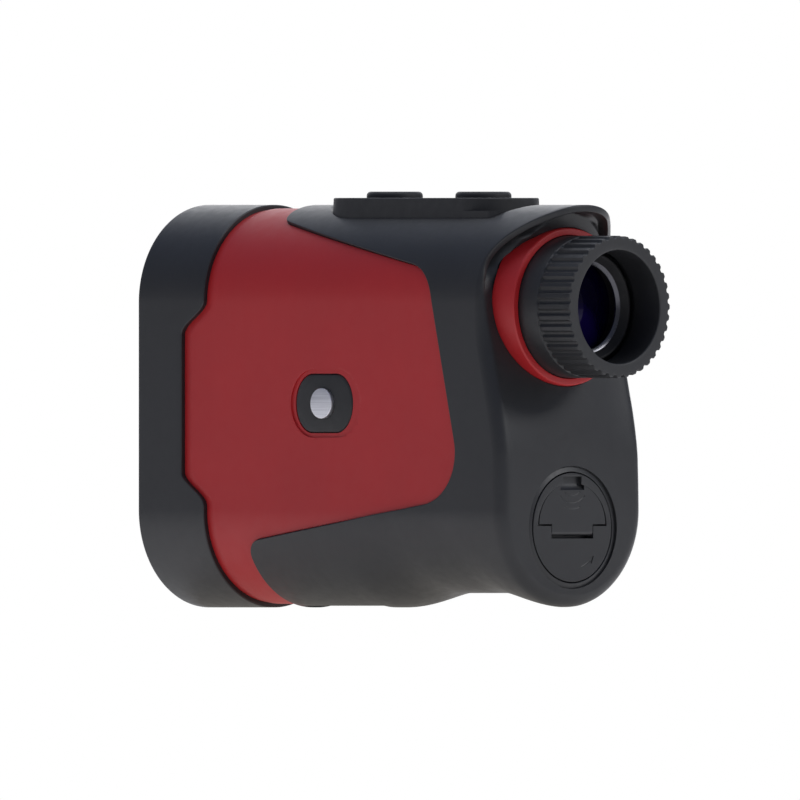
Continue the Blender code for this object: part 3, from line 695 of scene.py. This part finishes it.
def make_hood():
    """Front hood with a rounded rim and a wavy rear edge that stands proud of the red."""
    arcs = np.linspace(ARC_TOP, ARC_END, 240)
    edge = hood_edge(arcs)
    zero = np.zeros(len(arcs))
    rim, lip = 0.45, 0.25
    rows = [(arcs, edge, zero + HOOD_WALL), (arcs, zero + 0.6, zero + HOOD_WALL),
            (arcs, zero + 0.25, zero + HOOD_WALL - 0.08), (arcs, zero + 0.05, zero + HOOD_WALL - 0.3)]
    for a in quarter_turns(5)[::-1]:
        rows.append((arcs, zero + rim * (1 - math.sin(a)), zero + rim * (1 - math.cos(a))))
    for t in np.linspace(0, 1, 10)[1:]:
        rows.append((arcs, rim + (edge - lip - rim) * t, zero))
    for a in quarter_turns(4)[1:]:
        rows.append((arcs, edge - lip * (1 - math.sin(a)), zero + lip * (1 - math.cos(a))))
    hood = skin_rows("hood_shell", rows, BLACK, closed=True)
    weigh_normals(hood)
    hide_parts("front_hood")
    return hood


def make_seam_shade_wall():
    """Matt black wall behind the seams between the hood, the red panels and the body: a dark sheet that
    paints the shade seen down the gaps.
    """
    arcs = np.linspace(ARC_TOP, ARC_END, 120)
    zero = np.zeros(len(arcs))
    front, rear = 9.0, 27.0
    outer, inner = 2.1, 2.6
    section = ((rear, inner), (front, inner), (front, outer), (rear, outer))
    rows = [(arcs, zero + depth, zero + inset) for depth, inset in section]
    # painted shade: this extra dark wall stands in for the shade inside the seams
    neck = skin_rows("seam_shade_wall", rows, INNER_BLACK, closed=True)
    weigh_normals(neck)
    return neck


def boss_outline(length, height):
    """Outline of the side boss as (depth, height): level top and bottom, round ends."""
    radii = (length / 2 - BOSS_ARM, height / 2)
    front = arc((BOSS_DEPTH - BOSS_ARM, SIDE_MIDDLE), radii, 90, 270, 32)
    back = arc((BOSS_DEPTH + BOSS_ARM, SIDE_MIDDLE), radii, -90, 90, 32)
    return front + back


def make_red_panel(side):
    """One red side panel: its face between the hood's edge and the window line."""
    sign = 1 if side == "right" else -1
    front_arcs = spaced_arcs([8.0, 20.0, 62.0, 73.5])
    front = np.column_stack([front_arcs, hood_edge(front_arcs) + 0.05])
    back = WINDOW - WINDOW_NORMAL * SEAM
    edge = 0.08
    rows = []
    for t in np.linspace(0, 1, 60) ** 1.6:
        line = front + (back - WINDOW_NORMAL * edge - front) * t
        rolled = (RED_FRONT_INSET - RED_INSET) * (1 - smooth_step((line[:, 1] - front[:, 1]) / 2.2))
        rows.append((line[:, 0], line[:, 1], RED_INSET + rolled))
    for a in quarter_turns(3)[1:]:
        line = back - WINDOW_NORMAL * edge * (1 - math.sin(a))
        rows.append((line[:, 0], line[:, 1], RED_INSET + edge * (1 - math.cos(a))))
    inner_insets = np.full(COLUMNS, RED_INNER)
    inner = [(row[0], row[1], inner_insets) for row in (rows[0], *rows[4:-4:6], rows[-1])]
    bm = bmesh.new()
    loops = []
    for arcs, depths, insets in rows + inner[::-1]:
        points = skin(arcs, depths, insets)
        ends = np.vstack([points[0] * (0, 1, 1), points, points[-1] * (0, 1, 1)])
        ends[[0, -1], 0] = 0.02 * MM
        loops.append([bm.verts.new(p * (sign, 1, 1)) for p in ends])
    for a, b in zip(loops, loops[1:] + loops[:1]):
        join_loops(bm, a, b, closed=False)
    for column in (0, -1):
        bm.faces.new([loop[column] for loop in loops])
    panel = finish_mesh(f"red_panel_{side}", bm, RED)
    if side == "left":
        outside, inside = -19, -14
        recess_outline = [(depth + 0.5, height) for depth, height in boss_outline(17.8, 12.4)]
        recess = prism("recess", recess_outline, outside, -HALF_WIDTH + RED_INSET + 0.3, from_side)
        opening = prism("opening", boss_outline(14.9, 10.8), outside, inside, from_side)
        carve(panel, recess, opening)
        soften(panel, 0.12, lambda x, depth, height: (
            abs(depth - BOSS_DEPTH) < 10 and abs(height - SIDE_MIDDLE) < 8))
    weigh_normals(panel)
    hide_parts(f"{side}_red_panel")
    return panel


def make_side_boss():
    """Rubber boss with a low crown, and the brushed metal disc in its middle."""
    outline = np.array(boss_outline(14.6, 10.5))
    middle = np.array([BOSS_DEPTH, SIDE_MIDDLE])
    arms = outline - middle
    disc_low, disc_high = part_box("magnet_disc")
    disc_radius = (disc_high.z - disc_low.z) / 2 / MM
    circle = middle + arms / np.linalg.norm(arms, axis=1)[:, None] * (disc_radius + 0.12)
    # share of the way in from the outline to the disc, and distance out from the body's middle
    crown = ((0, 16.2), (0, 16.85), (0.015, 17.02), (0.05, 17.14), (0.12, 17.2),
             (0.4, 17.32), (0.75, 17.42), (0.93, 17.47), (1.0, 17.4), (1.0, 16.95))
    layers = []
    for share, out in crown:
        ring = outline + (circle - outline) * share
        layers.append([(depth, height, -out) for depth, height in ring])
    boss = layered("side_boss", layers, from_side, RUBBER)
    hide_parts("magnet_boss")
    disc = turned("side_disc", [
        (0, 18.0, 0), (disc_radius, 18.0, 0.12), (disc_radius, 17.0, 0), (0, 17.0, 0),
    ], STEEL_BRUSHED, depth=BOSS_DEPTH, height=SIDE_MIDDLE, along="left", steps=64)
    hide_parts("magnet_disc")
    return boss, disc


def make_front_plate():
    """Plate behind the hood's rim with its two lens windows and screw seats."""
    arcs = np.linspace(ARC_TOP, ARC_END, 160)
    zero = np.zeros(len(arcs))
    rows = [(arcs, zero + 8.0, zero + 2.1), (arcs, zero + 5.4, zero + 2.1), (arcs, zero + 5.2, zero + 2.3)]
    plate = skin_rows("front_plate", rows, INNER_BLACK)
    for height, radius in ((EYE_HEIGHT, 11.0), (RECEIVER_HEIGHT, 10.0)):
        carve(plate, turned("window", [
            (0, 4, 0), (radius + 1.6, 4, 0), (radius + 1.2, 5.2, 0), (radius, 6.4, 0.3),
            (radius, 9, 0), (0, 9, 0),
        ], height=height, steps=128))
    for x in (-10.5, 10.5):
        carve(plate, turned("seat", [
            (0, 3, 0), (2.2, 3, 0), (2.2, 6.6, 0), (1.3, 6.6, 0), (1.3, 9, 0), (0, 9, 0),
        ], x=x, height=HEIGHT / 2, steps=48))
    soften(plate, 0.15, lambda x, depth, height: depth < 5.3 and abs(x) < 15)
    weigh_normals(plate)
    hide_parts("front_bezel")
    return plate


# ---------------------------------------------------------------- keypad pieces

def key_place(key):
    """Depth of a button's axis and height of its top."""
    low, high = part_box(f"{key}_button")
    return FRONT_Y - (low.y + high.y) / 2 / MM, high.z / MM


def make_pad():
    """Raised rubber pad with a rounded top edge and a round opening for each button."""
    layers = [
        keypad_layer(9.1, 36.2, 81.5, 85.3, 70.5),
        keypad_layer(9.1, 36.2, 81.5, 85.3, 71.8),
        keypad_layer(9.08, 36.22, 81.5, 85.15, 71.93),
        keypad_layer(9.08, 36.22, 75.0, 80.6, 71.93),
    ]
    pad_top = 74.26
    edge = 0.3
    for a in quarter_turns(4):
        inset = edge * (1 - math.cos(a))
        height = pad_top - edge * (1 - math.sin(a))
        layers.append(keypad_layer(9.0 - inset, 36.3 + inset, 75.0, 80.5 - inset, height))
    bm = bmesh.new()
    loops = [[bm.verts.new(place(x, depth, height)) for x, depth, height in layer] for layer in layers]
    count = len(loops[0])
    for a, b in zip(loops, loops[1:]):
        join_loops(bm, a, b)
    bm.faces.new(loops[0])
    # the top is closed by strips from side to side: half the strips lie on the nose, half on the tail
    half = (count // 2 - 1) // 2
    order = [(half - k, half + k) for k in range(half + 1)]
    order += [(count - 1 - k, count // 2 + k) for k in range(half + 1)]
    for (l0, r0), (l1, r1) in zip(order, order[1:]):
        corners = [loops[-1][i] for i in dict.fromkeys((l0, r0, r1, l1))]
        bm.faces.new(corners)
    pad = finish_mesh("keypad_skin", bm, RUBBER)
    holes = []
    for key in ("power", "mode"):
        depth, _ = key_place(key)
        holes.append(turned(f"{key}_hole", [
            (0, 78, 0), (5.38, 78, 0), (5.38, 73.0, 0), (6.2, 73.0, 0), (6.2, 70, 0), (0, 70, 0),
        ], depth=depth, along="up"))
    carve(pad, *holes)
    soften(pad, 0.1, lambda x, depth, height: height > 74.2 and abs(x) < 5.6)
    weigh_normals(pad)
    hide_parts("keypad_pad")
    return pad


def make_key(key):
    """A round button with a rounded rim and a shallow dish."""
    depth, top = key_place(key)
    button = turned(f"{key}_key", [
        (0, top - 0.3, 0), (2.4, top - 0.22, 2.0), (3.9, top, 0.5), (5.1, top, 0.75),
        (5.1, 72.6, 0.1), (5.9, 72.6, 0.1), (5.9, 71.9, 0.1), (2.9, 71.9, 0), (2.9, 67.6, 0), (0, 67.6, 0),
    ], RUBBER, depth=depth, along="up")
    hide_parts(f"{key}_button")
    return button


# ---------------------------------------------------------------- eyepiece pieces

def make_focus_ring():
    """Eyepiece ring: a smooth barrel, then forty rounded teeth up to the end face."""
    teeth, per_tooth = 40, 12
    points = teeth * per_tooth
    angles = np.arange(points) * 2 * math.pi / points
    ridge = smooth_step(0.6 + 0.75 * np.cos(angles * teeth))
    # radius between the teeth, height of the teeth, and depth
    profile = [
        (12.6, 0, 91.9), (12.8, 0, 91.95), (12.9, 0, 92.1), (12.9, 0, 95.5), (12.9, 0, 98.1),
        (12.87, 0, 98.3), (12.5, 0.25, 98.5), (12.42, 0.44, 98.7), (12.42, 0.48, 99.0),
        (12.42, 0.48, 102.0), (12.42, 0.48, 105.0), (12.42, 0.48, 106.35), (12.4, 0.46, 106.5),
        (12.34, 0.42, 106.58), (12.2, 0.36, 106.6), (11.4, 0, 106.6), (10.6, 0, 106.6),
        (10.45, 0, 106.56), (10.35, 0, 106.46), (10.3, 0, 106.3), (10.3, 0, 103.0),
        (10.3, 0, 99.95), (10.45, 0, 99.8), (11.5, 0, 99.8), (11.5, 0, 91.9),
    ]
    bm = bmesh.new()
    loops = []
    for radius, tooth_height, depth in profile:
        r = radius + tooth_height * ridge
        loops.append([bm.verts.new(place(x, depth, EYE_HEIGHT + z))
                      for x, z in zip(r * np.sin(angles), r * np.cos(angles))])
    for a, b in zip(loops, loops[1:] + loops[:1]):
        join_loops(bm, a, b)
    ring = finish_mesh("focus_ring", bm, BLACK_FINE, sharp=40)
    weigh_normals(ring)
    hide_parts("diopter_ring")
    return ring


def lens_profile(radius, faces):
    """Half profile of a lens from the (depth at the rim, bulge) of its two faces."""
    (first_rim, first_bulge), (second_rim, second_bulge) = faces
    profile = [(radius * t, first_rim + first_bulge * (1 - t * t), 0) for t in np.linspace(0, 1, 16)]
    profile += [(radius * t, second_rim + second_bulge * (1 - t * t), 0) for t in np.linspace(1, 0, 8)]
    return profile


def make_eyepiece_inside():
    """Red trim ring, the lens cell with its polished step, and the coated eye lens."""
    trim = turned("trim_ring", [
        (14.1, 93.7, 0.1), (14.3, 93.4, 0.15), (15.0, 88.8, 0.05), (12.98, 88.8, 0.05),
        (12.98, 93.55, 0.05), (13.1, 93.7, 0.05),
    ], RED, height=EYE_HEIGHT, steps=128)
    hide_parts("eyepiece_trim_ring")
    cell = turned("eye_cell_body", [
        (9.8, 99.4, 0.1), (9.8, 92.6, 0.1), (8.0, 92.6, 0.1), (8.0, 93.2, 0.1), (9.0, 93.2, 0.05),
        (9.0, 96.8, 0.05), (7.9, 97.15, 0.05), (7.8, 97.7, 0.1), (8.6, 98.1, 0.15), (9.4, 99.4, 0.12),
    ], INNER_BLACK, height=EYE_HEIGHT)
    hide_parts("eye_cell")
    edge = turned("eye_cell_edge", [
        (8.5, 98.2, 0.05), (8.5, 98.0, 0.05), (7.74, 97.56, 0.05), (7.74, 97.78, 0.05),
    ], CELL_EDGE, height=EYE_HEIGHT)
    profile = lens_profile(8.6, ((95.2, 1.7), (94.0, -0.5)))
    lens = turned("eye_lens_glass", profile, EYE_GLASS, height=EYE_HEIGHT)
    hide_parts("eye_lens")
    return trim, cell, edge, lens


def make_front_lens(name, height, radius, node, retainer):
    """A front lens with its coating, and the threaded ring that holds it."""
    profile = lens_profile(radius, ((11.0, -0.9), (13.4, 0.9)))
    lens = turned(f"{name}_glass", profile, FRONT_GLASS, height=height)
    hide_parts(node)
    inner = radius - 1.1
    front, rear = 8.6, 9.6
    corners = [(radius, rear, 0.05), (radius, front, 0.1), (inner + 0.35, front, 0.1),
               (inner, 9.0, 0.1), (inner, rear, 0.05)]
    ring = turned(f"{name}_ring", corners, BLACK_ANODISED, height=height)
    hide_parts(retainer)
    return lens, ring


# ---------------------------------------------------------------- battery cap pieces

def handle_outline(grow):
    """The half-moon, grown all round, as (x, height)."""
    return arc((0, HANDLE_FOOT - grow), (HANDLE_HALF_WIDTH + grow, HANDLE_RISE + grow), 0, 180, 64)


def groove(name, radius, centre_height, start, end, thickness, depth_at):
    """A bent rod along an arc in the cap's face, used to press a groove."""
    points = arc((0, centre_height), (radius, radius), start, end, 24)
    curve = bpy.data.curves.new(name, 'CURVE')
    curve.dimensions = '3D'
    curve.bevel_depth = thickness * MM
    curve.bevel_resolution = 2
    curve.use_fill_caps = True
    spline = curve.splines.new('POLY')
    spline.points.add(len(points) - 1)
    for point, (x, height) in zip(spline.points, points):
        point.co = (*place(x, depth_at, height), 1)
    source = bpy.data.objects.new(name, curve)
    bpy.context.scene.collection.objects.link(source)
    graph = bpy.context.evaluated_depsgraph_get()
    mesh = bpy.data.meshes.new_from_object(source.evaluated_get(graph))
    bpy.data.objects.remove(source, do_unlink=True)
    bm = bmesh.new()
    bm.from_mesh(mesh)
    return finish_mesh(name, bm, None)


def make_cap():
    """Battery cap with its handle's recess and a pressed arrow for the turning direction."""
    cap = turned("battery_cover", [
        (0, REAR_FACE, 0), (9.9, REAR_FACE, 0.15), (9.9, 91.8, 0.1), (8.9, 91.8, 0.1),
        (8.9, 88.2, 0.1), (7.6, 88.2, 0.1), (7.6, 91.6, 0), (0, 91.6, 0),
    ], BLACK, height=BATTERY_HEIGHT, steps=128)
    behind = 100
    recess = prism("recess", handle_outline(0.32), REAR_FACE - 1.3, behind, from_rear)
    stem = block("stem_room", (-5.28, 5.28), (REAR_FACE - 1.9, behind), (12.5, 15.4))
    notch = block("notch", (-2.3, 2.3), (REAR_FACE - 0.8, behind), (22.0, 23.75))
    arrow_radius = 7.4
    shaft = groove("shaft", arrow_radius, BATTERY_HEIGHT, 287, 306, 0.2, REAR_FACE + 0.02)
    tip_angle = math.radians(308)
    tip = Vector((arrow_radius * math.cos(tip_angle), arrow_radius * math.sin(tip_angle)))
    ahead = Vector((-tip.y, tip.x)).normalized()
    out = tip.normalized()
    head = [tip + ahead * 1.1, tip - ahead * 0.3 + out * 0.75, tip - ahead * 0.3 - out * 0.75]
    arrow = prism("arrow", [(p.x, p.y + BATTERY_HEIGHT) for p in head], REAR_FACE - 0.14, 96, from_rear)
    carve(cap, recess, stem)
    carve(cap, notch)
    carve(cap, shaft)
    carve(cap, arrow)
    soften(cap, 0.07, lambda x, depth, height: depth > REAR_FACE - 0.01 and height > 12)
    weigh_normals(cap)
    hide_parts("battery_cap")
    return cap


def make_flip_handle():
    """Half-moon handle with a stem that is round about its pin, a nail notch and grip lines."""
    stem_radius = 0.8
    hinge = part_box("cap_handle")[0].z / MM + stem_radius
    plate = prism("flip_handle", handle_outline(0), REAR_FACE - 1.0, REAR_FACE, from_rear, BLACK)
    foot = arc((REAR_FACE - stem_radius, hinge), (stem_radius, stem_radius), -180, 0, 16)
    stem_outline = foot + [(REAR_FACE, 15.6), (REAR_FACE - 1.0, 15.6), (REAR_FACE - 1.6, 14.9)]
    stem = prism("stem", stem_outline, -5.15, 5.15, from_side)
    carve(plate, stem, operation='UNION')
    carve(plate, turned("nail", [(0, -3, 0), (2.0, -3, 0), (2.0, 3, 0), (0, 3, 0)],
                        depth=REAR_FACE + 1.15, height=22.9, along="left", steps=48))
    for i, (radius, half_angle) in enumerate(((3.2, 38), (4.5, 44), (5.6, 20))):
        carve(plate, groove(f"grip_{i}", radius, 23.5, 270 - half_angle, 270 + half_angle,
                            0.15, REAR_FACE + 0.03))
    soften(plate, 0.07, lambda x, depth, height: depth > REAR_FACE - 0.01)
    weigh_normals(plate)
    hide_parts("cap_handle")
    return plate


# ---------------------------------------------------------------- assembly

def take(piece, body):
    """Ride a piece on its CAD body."""
    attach(piece, body)


take(make_housing(), "casing")
take(make_hood(), "casing")
take(make_seam_shade_wall(), "casing")
for panel_side in ("left", "right"):
    take(make_red_panel(panel_side), "casing")
side_boss, side_disc = make_side_boss()
take(side_boss, "casing")
take(side_disc, "casing")
take(make_front_plate(), "casing")
take(make_pad(), "casing")
take(make_key("power"), "power_key")
take(make_key("mode"), "mode_key")
take(make_focus_ring(), "diopter")
trim_ring, cell_body, cell_edge, eye_glass = make_eyepiece_inside()
take(trim_ring, "casing")
take(cell_body, "eye_carrier")
take(cell_edge, "eye_carrier")
take(eye_glass, "eye_carrier")
FRONT_LENSES = (("objective", EYE_HEIGHT, 11.3), ("receiver", RECEIVER_HEIGHT, 10.3))
for lens_name, lens_height, lens_radius in FRONT_LENSES:
    front_lens, lens_ring = make_front_lens(lens_name, lens_height, lens_radius,
                                            f"{lens_name}_lens", f"{lens_name}_retainer")
    take(front_lens, "casing")
    take(lens_ring, "casing")
take(make_cap(), "cap")
take(make_flip_handle(), "flip_handle")

CARRIED_OVER = {
    "bezel_screw_1": STEEL, "bezel_screw_2": STEEL, "tube_contact": STEEL, "cap_contact": STEEL,
    "handle_pin": STEEL, "eye_tube": BLACK_ANODISED, "objective_barrel": BLACK_ANODISED,
    "receiver_barrel": BLACK_ANODISED, "optical_bench": ALUMINIUM, "laser_diode": ALUMINIUM,
    "apd_sensor": ALUMINIUM, "erecting_prism": PRISM_GLASS, "display_reticle": PRISM_GLASS,
    "keypad_board": BOARD, "laser_board": BOARD, "sensor_board": BOARD, "main_board": BOARD,
    "power_switch": GREY, "mode_switch": GREY, "prism_holder": GREY, "battery_tube": GREY,
    "battery_cell": WRAP, "cap_seal": RUBBER,
}
for node_name, node_material in CARRIED_OVER.items():
    node_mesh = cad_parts[node_name].data
    node_mesh.materials.clear()
    node_mesh.materials.append(node_material)


# ---------------------------------------------------------------- floor, light and camera

VIEW_AZIMUTH = math.radians(-44.3)
TARGET = Vector((0, 3.65, 37.61)) * MM
TO_CAMERA = Vector((math.sin(VIEW_AZIMUTH), -math.cos(VIEW_AZIMUTH), 0))
VIEW_WIDTH = 0.14505
FLOOR_GAP = 0.0004


def make_floor():
    """Plain pale floor just under the object, faintly lit from below like a light table."""
    bm = bmesh.new()
    bmesh.ops.create_grid(bm, x_segments=8, y_segments=8, size=1.5)
    bmesh.ops.translate(bm, verts=bm.verts, vec=(0, 0, -FLOOR_GAP))
    pale = surface("pale_floor", (0.86, 0.86, 0.86), (0.9, 0.9, 0.9), (0.6, 0.7), grain=300,
                   grain_strength=0.02, mottle=3)
    shader = pale.node_tree.nodes["Principled BSDF"]
    shader.inputs["Emission Color"].default_value = (1.0, 0.95, 0.88, 1)
    shader.inputs["Emission Strength"].default_value = 0.5
    floor = finish_mesh("floor", bm, pale)


def make_world():
    """White to the camera. The object gets a dim even light, cool from above."""
    world = bpy.data.worlds.new("studio")
    bpy.context.scene.world = world
    world.use_nodes = True
    tree = world.node_tree
    tree.nodes.clear()
    ray = tree.nodes.new("ShaderNodeLightPath")
    coords = tree.nodes.new("ShaderNodeTexCoord")
    axes = tree.nodes.new("ShaderNodeSeparateXYZ")
    node_link(tree, coords.outputs["Generated"], axes.inputs["Vector"])
    rise = tree.nodes.new("ShaderNodeMapRange")
    rise.inputs["From Min"].default_value = 0.0
    rise.inputs["From Max"].default_value = 0.8
    node_link(tree, axes.outputs["Z"], rise.inputs["Value"])
    sky = tinted(tree, rise.outputs["Result"], (0.20, 0.20, 0.22), (0.22, 0.27, 0.40))
    seen = tree.nodes.new("ShaderNodeBackground")
    seen.inputs["Color"].default_value = (1, 1, 1, 1)
    fill = tree.nodes.new("ShaderNodeBackground")
    node_link(tree, sky, fill.inputs["Color"])
    mix = tree.nodes.new("ShaderNodeMixShader")
    output = tree.nodes.new("ShaderNodeOutputWorld")
    node_link(tree, ray.outputs["Is Camera Ray"], mix.inputs["Fac"])
    node_link(tree, fill.outputs["Background"], mix.inputs[1])
    node_link(tree, seen.outputs["Background"], mix.inputs[2])
    node_link(tree, mix.outputs["Shader"], output.inputs["Surface"])


def area_light(name, direction, distance, size, power):
    """A square white softbox that looks at the object."""
    data = bpy.data.lights.new(name, 'AREA')
    data.shape = 'SQUARE'
    data.size = size
    data.energy = power
    light = bpy.data.objects.new(name, data)
    toward = Vector(direction).normalized()
    light.location = TARGET + toward * distance
    light.rotation_euler = (-toward).to_track_quat('-Z', 'Y').to_euler()
    light.visible_camera = False
    bpy.context.scene.collection.objects.link(light)


def make_camera():
    """Level camera without perspective, behind the object on its left."""
    data = bpy.data.cameras.new("camera")
    data.type = 'ORTHO'
    data.ortho_scale = VIEW_WIDTH
    data.clip_start = 0.01
    camera = bpy.data.objects.new("camera", data)
    camera.location = TARGET + TO_CAMERA * 0.6
    camera.rotation_euler = (-TO_CAMERA).to_track_quat('-Z', 'Y').to_euler()
    bpy.context.scene.collection.objects.link(camera)
    bpy.context.scene.camera = camera


make_floor()
make_world()
make_camera()
area_light("overhead", (0.1, 0.1, 1), 0.45, 0.4, 0.9)
area_light("key", (0.5, -0.8, 0.5), 0.6, 0.15, 0.8)
area_light("backdrop", (0.698, 0.716, 0.1), 0.7, 0.8, 4.0)
bpy.context.scene.view_settings.view_transform = 'Standard'
